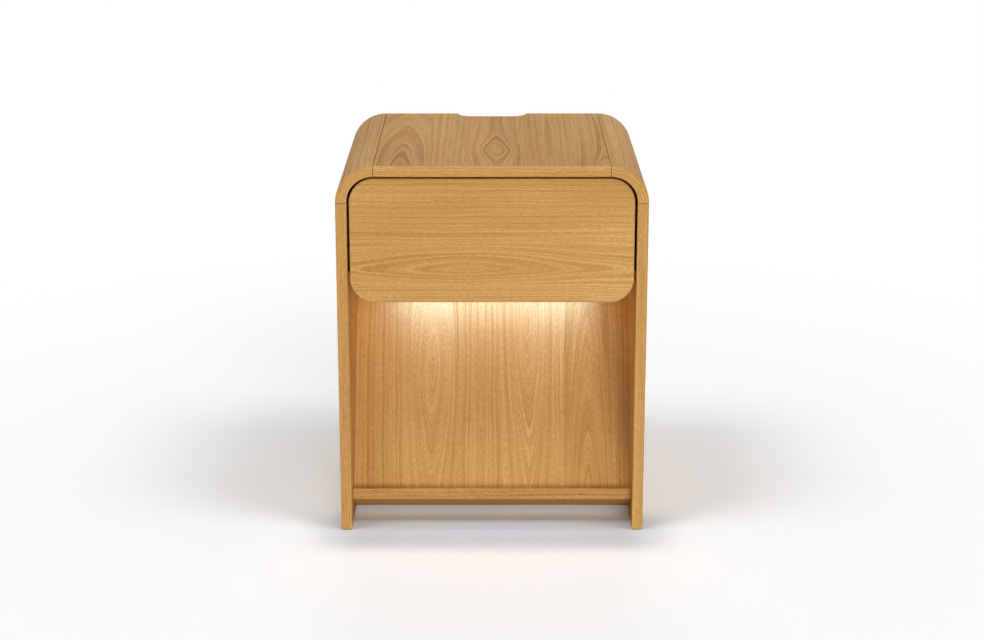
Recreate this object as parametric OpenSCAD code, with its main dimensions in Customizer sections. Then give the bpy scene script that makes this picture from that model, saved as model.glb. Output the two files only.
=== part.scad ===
// Bedside cabinet: an arch of veneered boards that holds one drawer on telescopic slides,
// a sloping rack for books below it, and a light bar on the rack's face.
// Millimetres. X runs across, Y from front to back, Z up. The origin is on the floor,
// at the middle of the footprint.

/* [Arch] */
// Overall width
body_w = 450; // [375:5:560]
// Overall depth
body_d = 420; // [350:5:520]
// Overall height
body_h = 554; // [470:2:680]
// Thickness of the arch boards and of the drawer case's floor
board_t = 16; // [13:0.5:20]
// Outer radius of the two top corners
corner_r = 55; // [46:1:70]
// Width of the cable notch in the top's rear edge
notch_w = 108; // [70:2:160]
// Depth of the cable notch, which is also how far the back board stands in
notch_d = 25; // [18:1:32]
// Radius of the notch's inner corners
notch_r = 25; // [5:1:30]
// Thickness of the back board and the rear rail
back_t = 12; // [8:1:16]
// Height of the rear rail
rail_h = 70; // [40:5:100]
// Gap under the rear rail
rail_z = 40; // [20:5:60]
// Half width of the V groove where two arch boards meet
groove = 0.4; // [0.2:0.1:0.8]

/* [Rack] */
// Lean of the rack's panel from upright, in degrees
rack_tilt = 29; // [22:1:32]
// Thickness of the rack's panel and ledge
rack_t = 15; // [12:0.5:18]
// How far the ledge's lip stands back from the front
lip_set = 25; // [15:1:40]
// Height of the lip's lower edge
lip_z = 40; // [38:1:60]
// Depth of the ledge in front of the panel
ledge_reach = 27.7; // [20:0.1:35]
// Depth of the ledge behind the panel's face
ledge_back = 48; // [30:1:52]

/* [Drawer] */
// Gap between the drawer front and the arch
reveal = 3.5; // [2:0.5:5]
// How far the drawer front stands back from the arch's front
front_set = 4; // [2:0.5:8]
// Thickness of the drawer front
front_t = 16; // [13:0.5:20]
// Height of the drawer front
front_h = 183; // [150:1:210]
// How far the drawer front hangs below the case floor, as a finger pull
pull_drop = 26; // [20:1:36]
// Thickness of the drawer box's sides, front and back
box_t = 12; // [9:0.5:15]
// Thickness of the drawer's bottom
bottom_t = 6; // [4:0.5:8]
// Height of the drawer's bottom above the box's lower edge
bottom_up = 10; // [8:1:16]
// Space between the drawer box and the case floor
box_foot = 6; // [4:1:10]
// Space between the drawer box and the arch's top
box_head = 24; // [20:1:34]
// Space between the drawer box and the back board
box_rear = 13; // [12:1:25]

/* [Slides] */
// Width of a slide, from the arch to the drawer box
slide_w = 12.7; // [12.5:0.1:14]
// Height of a slide
slide_h = 45; // [42:1:50]
// Thickness of the slide's sheet steel
sheet = 1.2; // [1:0.1:1.3]
// Diameter of the outer row of balls
ball_out = 3; // [2.8:0.1:3.2]
// Diameter of the inner row of balls
ball_in = 2.4; // [2.2:0.1:2.6]
// Number of balls in one row
ball_count = 6; // [3:1:6]
// Distance between balls in a row
ball_pitch = 18; // [14:1:20]

/* [Light] */
// Height of the light bar's mouth above the rack's ledge, along the panel
light_s = 330; // [250:1:335]
// Length of the light bar's channel
light_l = 300; // [240:5:320]
// Depth of the channel along the panel
light_h = 18; // [17:1:22]
// How far the channel stands off the panel
light_t = 13; // [12:1:16]
// Number of light-emitting chips
chip_count = 17; // [9:2:21]

/* [Fixings] */
// Diameter of the dowels in the arch and case
dowel_d = 8; // [6:0.5:8]
// Depth of a dowel in a board's end
dowel_deep = 20; // [14:1:24]
// Depth of a dowel in a board's face
dowel_face = 10; // [8:1:11]
// Length of a corner joint's dowel
dowel_corner = 30; // [20:1:32]
// Diameter of the drawer box's dowels
pin_d = 6; // [4:0.5:7]
// Height of the floor glides' heads
glide_h = 1; // [0.8:0.1:2]
// Diameter of the floor glides' heads
glide_d = 13; // [10:0.5:14]

/* [Hidden] */
$fn = 48;
fit = 0.05;                                  // radial room round dowels and screws
slip = 0.1;                                  // room round a panel in its groove
run = 0.15;                                  // room round a ball
past = 1;                                    // how far a cutter runs past a face
outer_screw = [3, 13, 6.5, 0.8];             // screws: shank, length, head and head's height
inner_screw = [3, 9, 6.5, 1.2];
front_screw = [3.5, box_t + 10, 8, 2];
light_screw = [3, 10, 6, 1.6];
driver_screw = [3, 10, 6, 1.8];
front_y = -body_d / 2;
rear_y = body_d / 2;
in_x = body_w / 2 - board_t;                 // inner face of a side
in_z = body_h - board_t;                     // underside of the top
bend_x = body_w / 2 - corner_r;              // where the corners' bends start
bend_z = body_h - corner_r;
bend_in = corner_r - board_t;
mid_r = corner_r - board_t / 2;              // middle of the bent board

back_y1 = rear_y - notch_d;
back_y0 = back_y1 - back_t;
fr_y0 = front_y + front_set;                 // drawer front
fr_y1 = fr_y0 + front_t;
fr_z1 = in_z - reveal;
fr_z0 = fr_z1 - front_h;
fr_x = in_x - reveal;
fr_r = bend_in - reveal;
floor_z0 = fr_z0 + pull_drop;                // drawer case's floor
floor_z1 = floor_z0 + board_t;
floor_y0 = fr_y1 + 2;

box_x = in_x - slide_w;                      // drawer box
box_y0 = fr_y1;
box_y1 = back_y0 - box_rear;
box_z0 = floor_z1 + box_foot;
box_z1 = in_z - box_head;
bot_z0 = box_z0 + bottom_up;
tongue = box_t / 2;                          // how deep the bottom sits in its grooves

slide_y0 = box_y0 + 2;                       // slides
slide_l = box_y1 - box_y0;
slide_z = (box_z0 + box_z1) / 2;
mid_l = slide_l - 10;
out_z = slide_h / 2;                         // half heights of the three nested sections
mid_z = out_z - sheet - ball_out - 2 * run;
inn_z = mid_z - sheet - ball_in - 2 * run;
cage_t = 0.5;
cage_x = sheet + 1.1;                        // outer cage's web, clear of the screw heads
mid_x = cage_x + cage_t + 0.3;
cage2_x = mid_x + sheet + 0.3;
inn_x = cage2_x + cage_t + 0.4;
mid_x1 = slide_w - sheet - 0.3;
row_out = [(cage_x + slide_w - 4.3) / 2 + 0.4, out_z - sheet - run - ball_out / 2];
row_in = [(cage2_x + mid_x1 - sheet) / 2 + 0.3, mid_z - sheet - run - ball_in / 2];
slide_holes = [35, slide_l / 2, slide_l - 35];

rack_dir = [sin(rack_tilt), cos(rack_tilt)]; // up the panel, as Y and Z
rack_y = front_y + lip_set + ledge_reach * cos(rack_tilt);
rack_z = lip_z + rack_t / cos(rack_tilt) - ledge_reach * sin(rack_tilt);
rack_top = (floor_z0 - rack_z) / cos(rack_tilt);
skin = 1.2;                                  // wall of the light bar's channel
light_x = light_l / 2;
chip_pitch = (light_l - 30) / (chip_count - 1);
lead_x = -(chip_count / 2 - 1) * chip_pitch;  // midway between the first two chips
lead_s = light_s + light_h - 6;
lead_n = light_t / 2;
lead_d = 2.6;
grommet_d = 7.8;
driver = [90, 40, 20];                       // case of the light's driver
driver_skin = 2;
plate_l = driver[0] + 24;
driver_x = lead_x + 15;
usb = [9, 3.2, 7];                           // power inlet: width, height and depth

// ---- Shapes that repeat ----

// A convex outline with each corner rounded to its own radius; 0 leaves the corner sharp.
module rounded(points, radii) {
    n = len(points);
    function to(i, step) = let (d = points[(i + step + n) % n] - points[i]) d / norm(d);
    function half(i) = acos(max(-1, min(1, to(i, -1) * to(i, 1)))) / 2;
    polygon([for (i = [0:n - 1], step = [-1, 1])
        if (radii[i] > 0 || step == 1)
            points[i] + to(i, step) * radii[i] / tan(half(i))]);
    for (i = [0:n - 1])
        if (radii[i] > 0) {
            inward = to(i, -1) + to(i, 1);
            translate(points[i] + inward / norm(inward) * radii[i] / sin(half(i))) circle(radii[i]);
        }
}

// A rectangle between two corners, rounded to r.
module plate(a, b, r = 0) {
    if (r > 0)
        rounded([a, [b[0], a[1]], b, [a[0], b[1]]], [r, r, r, r]);
    else
        translate(a) square(b - a);
}

// A block between two opposite corners.
module block(a, b) {
    translate(a) cube(b - a);
}

// Sections drawn across one axis and extruded along it.
module along_x(x0, x1) {
    translate([x0, 0, 0]) rotate([90, 0, 90]) linear_extrude(x1 - x0) children();
}
module along_y(y0, y1) {
    translate([0, y1, 0]) rotate([90, 0, 0]) linear_extrude(y1 - y0) children();
}
module along_z(z0, z1) {
    translate([0, 0, z0]) linear_extrude(z1 - z0) children();
}

// The right-hand piece, or its mirror image on the left.
module on_side(side) {
    if (side > 0) children();
    else mirror([1, 0, 0]) children();
}

// A dowel with eased ends, along Z from the origin.
module dowel(d, l) {
    ease = 1;
    cylinder(d1 = d - 2 * ease, d2 = d, h = ease);
    translate([0, 0, ease]) cylinder(d = d, h = l - 2 * ease);
    translate([0, 0, l - ease]) cylinder(d1 = d, d2 = d - 2 * ease, h = ease);
}

// A pan-head wood screw: the head sits on Z = 0 and the shank runs down. Its size is a list
// of the shank's diameter, the length under the head, and the head's diameter and height.
module screw(size) {
    shank = size[0];
    l = size[1];
    head = size[2];
    head_h = size[3];
    tip = 3;
    difference() {
        cylinder(d = head, h = head_h);
        for (turn = [0, 90])
            rotate(turn) block([-head / 3, -0.4, head_h * 0.4], [head / 3, 0.4, head_h + past]);
    }
    translate([0, 0, tip - l]) cylinder(d = shank, h = l - tip);
    translate([0, 0, -l]) cylinder(d1 = 0.6, d2 = shank, h = tip);
}
module screw_hole(size) {
    translate([0, 0, -size[1] - fit]) cylinder(d = size[0] + 2 * fit, h = size[1] + past);
}

// ---- Where the fixings are ----

dowel_rows = [front_y + 45, 0, rear_y - 45];
function up_rack(s, n) = [rack_y + s * rack_dir[0] - n * rack_dir[1],
    rack_z + s * rack_dir[1] + n * rack_dir[0]];
floor_points = [for (y = [floor_y0 + 40, 0, back_y0 - 40]) [y, (floor_z0 + floor_z1) / 2]];
rack_points = [for (s = [50, rack_top / 2, rack_top - 50]) up_rack(s, -rack_t / 2)];
ledge_points = [for (n = [8, -ledge_back + 14]) up_rack(-rack_t / 2, n)];
back_points = [for (z = [floor_z1 + 25, floor_z1 + 80]) [(back_y0 + back_y1) / 2, z]];
rail_points = [for (z = [rail_z + 18, rail_z + rail_h - 18]) [(back_y0 + back_y1) / 2, z]];

// Size of the dowels for the thinner back boards
thin_d = min(dowel_d, back_t / 2);

// Bores across the case, in both ends of a board and in the sides' faces.
module case_bores(points, d = dowel_d) {
    for (side = [-1, 1], p = points)
        on_side(side) translate([in_x - dowel_deep - fit, p[0], p[1]]) rotate([0, 90, 0])
            cylinder(d = d + 2 * fit, h = dowel_deep + dowel_face + 2 * fit);
}

// Bores across the arch's four joints.
module arch_bores() {
    l = dowel_corner + 1;
    for (side = [-1, 1], y = dowel_rows)
        on_side(side) {
            translate([bend_x + mid_r, y, bend_z - l / 2]) cylinder(d = dowel_d + 2 * fit, h = l);
            translate([bend_x - l / 2, y, bend_z + mid_r]) rotate([0, 90, 0])
                cylinder(d = dowel_d + 2 * fit, h = l);
        }
}

// V grooves round the arch's four joints, on the outer face and on both edges.
module arch_grooves() {
    w = groove * sqrt(2);
    for (side = [-1, 1])
        on_side(side) {
            along_y(front_y - past, rear_y + past) {
                translate([bend_x, body_h]) rotate(45) square(w, center = true);
                translate([body_w / 2, bend_z]) rotate(45) square(w, center = true);
            }
            for (y = [front_y, rear_y]) {
                along_z(in_z - past, body_h + past)
                    translate([bend_x, y]) rotate(45) square(w, center = true);
                along_x(in_x - past, body_w / 2 + past)
                    translate([y, bend_z]) rotate(45) square(w, center = true);
            }
        }
}

glide_points = [for (side = [-1, 1], y = [front_y + 30, rear_y - 30])
    [side * (body_w / 2 - board_t / 2), y]];
glide_pin = [2.4, 14];

// ---- Arch and case ----

module top_panel() {
    color("#b98b57") difference() {
        block([-bend_x, front_y, in_z], [bend_x, rear_y, body_h]);
        along_z(in_z - past, body_h + past)
            plate([-notch_w / 2, rear_y - notch_d], [notch_w / 2, rear_y + notch_d + 2 * notch_r],
                notch_r);
        arch_bores();
        arch_grooves();
    }
}

module corner(side) {
    color("#b48552") difference() {
        on_side(side) translate([bend_x, 0, bend_z]) rotate([90, 0, 0])
            rotate_extrude(angle = 90) plate([bend_in, front_y], [corner_r, rear_y]);
        arch_bores();
        arch_grooves();
    }
}

module side_board(side) {
    color("#c4975c") difference() {
        on_side(side) block([in_x, front_y, glide_h], [body_w / 2, rear_y, bend_z]);
        arch_bores();
        arch_grooves();
        case_bores(concat(floor_points, rack_points, ledge_points));
        case_bores(concat(back_points, rail_points), thin_d);
        on_side(side) slide_frame() for (y = slide_holes)
            translate([sheet, y, 0]) rotate([0, 90, 0]) screw_hole(outer_screw);
        for (p = glide_points)
            translate([p[0], p[1], 0]) cylinder(d = glide_pin[0] + 2 * fit, h = glide_pin[1] + past);
    }
}

module case_floor() {
    color("#c4975c") difference() {
        block([-in_x, floor_y0, floor_z0], [in_x, back_y0, floor_z1]);
        case_bores(floor_points);
    }
}

module back_panel() {
    x = in_x - slip;
    color("#c4975c") difference() {
        along_y(back_y0, back_y1)
            rounded([[-x, floor_z0], [x, floor_z0], [x, in_z - slip], [-x, in_z - slip]],
                [0, 0, bend_in, bend_in]);
        case_bores(back_points, thin_d);
    }
}

module rear_rail() {
    color("#c4975c") difference() {
        block([-in_x, back_y0, rail_z], [in_x, back_y1, rail_z + rail_h]);
        case_bores(rail_points, thin_d);
    }
}

module dowel_set(points, d) {
    for (side = [-1, 1], p = points)
        on_side(side) translate([in_x - dowel_deep, p[0], p[1]]) rotate([0, 90, 0])
            dowel(d, dowel_deep + dowel_face);
}

module arch_dowels() {
    color("#d8b98a") for (side = [-1, 1], y = dowel_rows)
        on_side(side) {
            translate([bend_x + mid_r, y, bend_z - dowel_corner / 2]) dowel(dowel_d, dowel_corner);
            translate([bend_x - dowel_corner / 2, y, bend_z + mid_r]) rotate([0, 90, 0])
                dowel(dowel_d, dowel_corner);
        }
}

module case_dowels() {
    color("#d8b98a") {
        dowel_set(concat(floor_points, rack_points, ledge_points), dowel_d);
        dowel_set(concat(back_points, rail_points), thin_d);
    }
}

module floor_glides() {
    color("#3a3734") for (p = glide_points)
        translate([p[0], p[1], 0]) {
            cylinder(d = glide_d, h = glide_h);
            translate([0, 0, glide_h]) cylinder(d = glide_pin[0], h = glide_pin[1] - glide_h);
        }
}

// ---- Rack ----

// The rack panel's own frame: Y up its face, Z out of its face, origin where it meets the ledge.
module on_rack() {
    translate([0, rack_y, rack_z]) rotate([90 - rack_tilt, 0, 0]) children();
}

module rack_panel() {
    color("#c9995c") difference() {
        along_x(-in_x, in_x)
            polygon([up_rack(0, 0), up_rack(0, -rack_t),
                up_rack(rack_top + rack_t * tan(rack_tilt), -rack_t), up_rack(rack_top, 0)]);
        case_bores(rack_points);
        on_rack() {
            translate([lead_x, lead_s, -rack_t - past])
                cylinder(d = grommet_d + 2 * fit, h = rack_t + 2 * past);
            light_screw_places() screw_hole(light_screw);
            driver_screw_places() screw_hole(driver_screw);
        }
    }
}

module rack_ledge() {
    lip = ledge_reach - rack_t * tan(rack_tilt);
    color("#c4975c") difference() {
        along_x(-in_x, in_x)
            polygon([up_rack(0, ledge_reach), up_rack(-rack_t, lip),
                up_rack(-rack_t, -ledge_back), up_rack(0, -ledge_back)]);
        case_bores(ledge_points);
    }
}

// ---- Slides: three nested sections of sheet steel on two rows of balls ----

// The slide's own frame on the right: X from the side towards the drawer box, Y along it.
module slide_frame() {
    translate([in_x, slide_y0, slide_z]) mirror([1, 0, 0]) children();
}
module slide_part(side) {
    on_side(side) slide_frame() children();
}

// A section open on one side: a web, two flanges and, where it holds balls, two lips.
module channel(web_x, tip_x, half_h, lip) {
    inner = half_h - sheet;
    turn = tip_x > web_x ? 1 : -1;
    x = [web_x, tip_x];
    difference() {
        plate([min(x), -half_h], [max(x), half_h]);
        plate([min(x) + (turn > 0 ? sheet : -past), -inner],
            [max(x) - (turn > 0 ? -past : sheet), inner]);
    }
    if (lip > 0)
        for (z = [-1, 1])
            plate([tip_x - sheet, min(z * (half_h - lip), z * half_h)],
                [tip_x, max(z * (half_h - lip), z * half_h)]);
}

module slide_outer(side) {
    color("#b9bcc0") slide_part(side) difference() {
        along_y(0, slide_l) channel(0, slide_w - 2.7, out_z, sheet + 2.2);
        for (y = slide_holes)
            translate([sheet, y, 0]) rotate([0, 90, 0]) screw_hole(outer_screw);
    }
}

module slide_outer_screws() {
    color("#9a9da1") for (side = [-1, 1])
        slide_part(side) for (y = slide_holes)
            translate([sheet, y, 0]) rotate([0, 90, 0]) screw(outer_screw);
}

module slide_bumpers() {
    color("#2b2b2b") for (side = [-1, 1])
        slide_part(side) block([sheet, slide_l - 7, -9], [slide_w - 4, slide_l - 1, 9]);
}

module slide_middle(side) {
    color("#c6c9cc") slide_part(side) along_y(2, 2 + mid_l)
        channel(mid_x, mid_x1, mid_z, sheet + 2.2);
}

module slide_inner(side) {
    color("#b9bcc0") slide_part(side) difference() {
        along_y(0, mid_l) channel(slide_w, inn_x, inn_z, 0);
        for (y = slide_holes)
            translate([slide_w - sheet, y, 0]) rotate([0, -90, 0]) screw_hole(inner_screw);
    }
}

module slide_inner_screws() {
    color("#9a9da1") for (side = [-1, 1])
        slide_part(side) for (y = slide_holes)
            translate([slide_w - sheet, y, 0]) rotate([0, -90, 0]) screw(inner_screw);
}

ball_places = [for (i = [0:ball_count - 1]) (i - (ball_count - 1) / 2) * ball_pitch];
cage_l = (ball_count - 1) * ball_pitch + 12;

// A thin C-shaped cage with a hole round each ball.
module ball_cage(side, web_x, tip_x, row, d) {
    color("#d9c24a") slide_part(side) translate([0, slide_l / 2, 0]) difference() {
        along_y(-cage_l / 2, cage_l / 2) difference() {
            plate([web_x, -row[1] - 0.4], [tip_x, row[1] + 0.4]);
            plate([web_x + cage_t, -row[1] + 0.4], [tip_x + past, row[1] - 0.4]);
        }
        for (y = ball_places)
            translate([row[0], y, -out_z]) cylinder(d = d + 0.2, h = slide_h);
    }
}

module ball_rows(side, row, d) {
    color("#e4e6e8") slide_part(side) translate([0, slide_l / 2, 0])
        for (z = [-1, 1], y = ball_places)
            translate([row[0], y, z * row[1]]) sphere(d = d);
}

cage_tip = slide_w - 2.7 - sheet - 0.4;
cage2_tip = mid_x1 - sheet - 0.4;

// ---- Drawer ----

module bottom_space() {
    block([-box_x + box_t - tongue - slip, box_y0 + box_t - tongue - slip, bot_z0 - slip],
        [box_x - box_t + tongue + slip, box_y1 - box_t + tongue + slip, bot_z0 + bottom_t + slip]);
}

pin_heights = [bot_z0 + bottom_t + 16, (box_z0 + box_z1) / 2 + 12, box_z1 - 16];
pin_face = box_t * 2 / 3;
pin_deep = 16;

// Dowels or their bores at the box's four upright corners.
module box_pins(room) {
    for (side = [-1, 1], y = [box_y0 + box_t / 2, box_y1 - box_t / 2], z = pin_heights)
        on_side(side) translate([box_x - box_t - pin_deep - room, y, z]) rotate([0, 90, 0])
            if (room > 0) cylinder(d = pin_d + 2 * room, h = pin_deep + pin_face + 2 * room);
            else dowel(pin_d, pin_deep + pin_face);
}

front_screws = [for (x = [-1, 1], z = [-1, 1])
    [x * box_x * 0.55, (box_z0 + box_z1) / 2 + z * (box_z1 - box_z0) / 5]];
module front_screw_places() {
    for (p = front_screws)
        translate([p[0], box_y0 + box_t, p[1]]) rotate([-90, 0, 0]) children();
}

module drawer_front() {
    color("#c89b5e") difference() {
        along_y(fr_y0, fr_y1) plate([-fr_x, fr_z0], [fr_x, fr_z1], fr_r);
        front_screw_places() screw_hole(front_screw);
    }
}

module drawer_box_front() {
    color("#e2c79c") difference() {
        block([-box_x + box_t, box_y0, box_z0], [box_x - box_t, box_y0 + box_t, box_z1]);
        bottom_space();
        box_pins(fit);
        front_screw_places() screw_hole(front_screw);
    }
}

module drawer_side(side) {
    color("#e2c79c") difference() {
        on_side(side) block([box_x - box_t, box_y0, box_z0], [box_x, box_y1, box_z1]);
        bottom_space();
        box_pins(fit);
        slide_part(side) for (y = slide_holes)
            translate([slide_w - sheet, y, 0]) rotate([0, -90, 0]) screw_hole(inner_screw);
    }
}

module drawer_back() {
    color("#e2c79c") difference() {
        block([-box_x + box_t, box_y1 - box_t, box_z0], [box_x - box_t, box_y1, box_z1]);
        bottom_space();
        box_pins(fit);
    }
}

module drawer_bottom() {
    color("#ead6b2")
        block([-box_x + box_t - tongue, box_y0 + box_t - tongue, bot_z0],
            [box_x - box_t + tongue, box_y1 - box_t + tongue, bot_z0 + bottom_t]);
}

module drawer_dowels() {
    color("#d8b98a") box_pins(0);
}

module drawer_front_screws() {
    color("#9a9da1") front_screw_places() screw(front_screw);
}

// ---- Light bar, on the rack's face ----

module light_screw_places() {
    for (x = [-1, 0, 1])
        translate([x * (light_x - 12), light_s + light_h / 2 + 1, skin]) children();
}

module light_channel() {
    color("#d4d6d8") on_rack() difference() {
        along_x(-light_x, light_x) difference() {
            plate([light_s, 0], [light_s + light_h, light_t]);
            plate([light_s - past, skin], [light_s + light_h - skin, light_t - skin]);
        }
        light_screw_places() screw_hole(light_screw);
        translate([lead_x, lead_s, -past]) cylinder(d = lead_d + 1, h = skin + 2 * past);
    }
}

module light_diffuser() {
    lip = 0.8;
    low = skin + slip;
    high = light_t - skin - slip;
    color("#fbf4e2") on_rack() along_x(4 - light_x, light_x - 4) {
        plate([light_s + 0.3, low], [light_s + 1.8, high]);
        plate([light_s + 1.8, low], [light_s + 5.5, low + lip]);
        plate([light_s + 1.8, high - lip], [light_s + 5.5, high]);
    }
}

board_s = light_s + light_h - skin;
module light_board() {
    color("#f2efe6") on_rack()
        block([10 - light_x, board_s - 1.2, light_t / 2 - 4],
            [light_x - 10, board_s, light_t / 2 + 4]);
}

module light_chips() {
    color("#f7d774") on_rack() for (i = [0:chip_count - 1])
        translate([(i - (chip_count - 1) / 2) * chip_pitch, board_s - 1.6, light_t / 2])
            cube([3.5, 0.8, 2.8], center = true);
}

// An end cap's plate, with the boss that plugs into the channel.
module cap(x, out) {
    boss = x - out * 3;
    block([min(x, x + out * 2), light_s, 0], [max(x, x + out * 2), light_s + light_h, light_t]);
    block([min(x, boss), light_s + 6.5, skin + 0.3],
        [max(x, boss), light_s + light_h - skin - 3.5, light_t - skin - 0.3]);
}

module light_end_cap() {
    color("#e9e7e2") on_rack() cap(-light_x, -1);
}

sensor_l = 16;
module sensor_case() {
    color("#e9e7e2") on_rack() difference() {
        union() {
            cap(light_x, 1);
            block([light_x + 2, light_s, 0], [light_x + 2 + sensor_l, light_s + light_h, light_t]);
        }
        translate([light_x + 2 + sensor_l / 2, light_s - past, light_t / 2]) rotate([-90, 0, 0])
            cylinder(d = 8 + 2 * fit, h = 4 + past);
    }
}

module sensor_lens() {
    color("#f6f6f2") on_rack()
        translate([light_x + 2 + sensor_l / 2, light_s, light_t / 2]) {
            rotate([-90, 0, 0]) cylinder(d = 8, h = 4 - fit);
            difference() {
                sphere(d = 8);
                block([-5, 0, -5], [5, 5, 5]);
            }
        }
}

module light_screws() {
    color("#9a9da1") on_rack() light_screw_places() screw(light_screw);
}

// The lead runs through the panel from the driver and turns up to the light's board.
module light_lead() {
    color("#e8e6e0") on_rack() {
        translate([lead_x, lead_s, -rack_t - 5]) cylinder(d = lead_d, h = rack_t + 5 + lead_n);
        translate([lead_x, lead_s, lead_n]) sphere(d = lead_d);
        translate([lead_x, lead_s, lead_n]) rotate([-90, 0, 0])
            cylinder(d = lead_d, h = board_s - 1.2 - lead_s);
    }
}

module lead_grommet() {
    color("#2b2b2b") on_rack() translate([lead_x, lead_s, -rack_t]) difference() {
        cylinder(d = grommet_d, h = rack_t);
        translate([0, 0, -past]) cylinder(d = lead_d + 2 * fit, h = rack_t + 2 * past);
    }
}

// ---- Driver, on the rack's rear face ----

// The driver's own frame: Z runs away from the panel's rear face.
module at_driver() {
    on_rack() translate([driver_x, lead_s - 4, -rack_t]) mirror([0, 0, 1]) children();
}
module driver_screw_places() {
    for (x = [-1, 1])
        translate([driver_x + x * (plate_l / 2 - 6), lead_s - 4, -rack_t - driver_skin])
            rotate([180, 0, 0]) children();
}

module driver_plate() {
    color("#3b3b3d") difference() {
        at_driver() along_z(0, driver_skin)
            plate([-plate_l / 2, -driver[1] / 2], [plate_l / 2, driver[1] / 2], 6);
        on_rack() driver_screw_places() screw_hole(driver_screw);
        on_rack() translate([lead_x, lead_s, -rack_t - driver_skin - past])
            cylinder(d = lead_d + 2 * fit, h = driver_skin + 2 * past);
    }
}

module usb_space(room) {
    translate([driver[0] / 2, 0, driver[2] / 2]) along_x(-usb[2], past)
        plate([-usb[0] / 2 - room, -usb[1] / 2 - room], [usb[0] / 2 + room, usb[1] / 2 + room],
            usb[1] / 2 - 0.1 + room);
}

module driver_cover() {
    w = driver / 2;
    color("#3b3b3d") at_driver() difference() {
        along_z(driver_skin, driver[2]) plate([-w[0], -w[1]], [w[0], w[1]], 4);
        along_z(driver_skin - past, driver[2] - driver_skin)
            plate([driver_skin - w[0], driver_skin - w[1]], [w[0] - driver_skin, w[1] - driver_skin],
                2);
        usb_space(fit);
    }
}

module driver_board() {
    color("#1f6b45") at_driver() {
        z = driver[2] / 2 + usb[1] / 2 + fit;
        w = driver / 2;
        block([4 - w[0], 3 - w[1], z], [w[0] - 4, w[1] - 3, z + 1.6]);
        block([-30, -12, z + 1.6], [-8, 10, driver[2] - driver_skin]);
        translate([8, 0, z + 1.6]) cylinder(d = 8, h = driver[2] - driver_skin - z - 1.6);
        for (x = [-36, 36], y = [-14, 14])
            translate([x, y, driver_skin]) cylinder(d = 4, h = z - driver_skin);
    }
}

module power_inlet() {
    wall = 0.3;
    color("#c9ccd0") at_driver() {
        difference() {
            usb_space(0);
            translate([driver[0] / 2, 0, driver[2] / 2]) along_x(-usb[2] + 1, 2 * past)
                plate([wall - usb[0] / 2, wall - usb[1] / 2], [usb[0] / 2 - wall, usb[1] / 2 - wall],
                    usb[1] / 2 - 0.1 - wall);
            block([driver[0] / 2, -usb[0], 0], [driver[0] / 2 + 2 * past, usb[0], driver[2]]);
        }
        translate([driver[0] / 2, 0, driver[2] / 2])
            block([-usb[2] + 1, -3.3, -0.35], [-0.8, 3.3, 0.35]);
    }
}

module driver_screws() {
    color("#9a9da1") on_rack() driver_screw_places() screw(driver_screw);
}

top_panel();
corner(-1);  // corner_left
corner(1);  // corner_right
side_board(-1);  // side_left
side_board(1);  // side_right
case_floor();
back_panel();
rear_rail();
rack_panel();
rack_ledge();
arch_dowels();
case_dowels();
floor_glides();
slide_outer(-1);  // slide_outer_left
slide_outer(1);  // slide_outer_right
slide_outer_screws();
slide_bumpers();
slide_middle(-1);  // slide_middle_left
slide_middle(1);  // slide_middle_right
ball_cage(-1, cage_x, cage_tip, row_out, ball_out);  // ball_cage_outer_left
ball_cage(1, cage_x, cage_tip, row_out, ball_out);  // ball_cage_outer_right
ball_cage(-1, cage2_x, cage2_tip, row_in, ball_in);  // ball_cage_inner_left
ball_cage(1, cage2_x, cage2_tip, row_in, ball_in);  // ball_cage_inner_right
ball_rows(-1, row_out, ball_out);  // balls_outer_left
ball_rows(1, row_out, ball_out);  // balls_outer_right
ball_rows(-1, row_in, ball_in);  // balls_inner_left
ball_rows(1, row_in, ball_in);  // balls_inner_right
slide_inner(-1);  // slide_inner_left
slide_inner(1);  // slide_inner_right
slide_inner_screws();
drawer_front();
drawer_box_front();
drawer_side(-1);  // drawer_side_left
drawer_side(1);  // drawer_side_right
drawer_back();
drawer_bottom();
drawer_dowels();
drawer_front_screws();
light_channel();
light_diffuser();
light_board();
light_chips();
light_end_cap();
sensor_case();
sensor_lens();
light_screws();
light_lead();
lead_grommet();
driver_plate();
driver_cover();
driver_board();
power_inlet();
driver_screws();
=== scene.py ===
"""Looks of the bedside cabinet: oak-veneered boards, a drawer, steel slides and a warm light bar.

The boards are modelled here with eased edges and stand for their CAD nodes. Everything else
keeps its CAD shape. Metres, in the frame's own axes: +X right, +Y to the rear, +Z up.
"""

import math

import bpy
from mathutils import Matrix, Vector


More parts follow.
